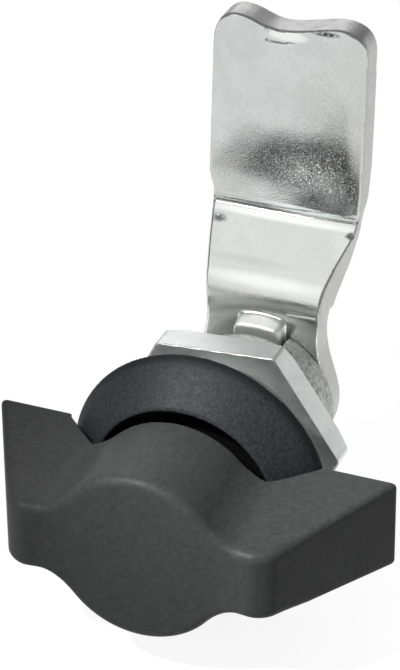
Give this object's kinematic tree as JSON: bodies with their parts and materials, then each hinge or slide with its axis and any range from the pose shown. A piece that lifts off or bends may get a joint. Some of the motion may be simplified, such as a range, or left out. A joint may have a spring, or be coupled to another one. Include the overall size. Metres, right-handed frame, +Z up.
{
  "type": "cabinet turn latch",
  "caption": "Quarter-turn cabinet latch: wing knob, domed collar with threaded barrel and hexagon nut, and a double-bent latch arm that swings a quarter turn behind the frame.",
  "frame": {"origin": "centre of the collar's panel face, on the turning axis", "axes": "+Y along the turning axis into the cabinet, +Z up towards the arm's tip with the latch closed, X along the knob's wings"},
  "size_m": [0.0518, 0.051, 0.0664],
  "materials": {
    "black_casting": "fine textured matt black coating, raw grey zinc on the barrel",
    "black_plastic": "matt, finely textured moulding",
    "turned_steel": "turned, bright plated",
    "black_rubber": "matt black rubber",
    "plated_nut": "bright zinc plating, satin",
    "plated_arm": "zinc plating on pressed steel, slightly mottled",
    "plated_small": "bright zinc plating"
  },
  "bodies": {
    "frame": {"housing": "black_casting", "hex_nut": "plated_nut", "panel_gasket": "black_rubber"},
    "rotor": {"wing_knob": "black_plastic", "spindle": "turned_steel", "spindle_seal": "black_rubber", "latch_arm": "plated_arm", "flat_washer": "plated_small", "spring_washer": "plated_small", "arm_screw": "plated_small"}
  },
  "joints": [
    {"name": "latch_turn", "type": "hinge", "parent": "frame", "child": "rotor", "pos_m": [0, 0, 0], "axis": [0, -1, 0], "range_deg": [0, 90]}
  ]
}
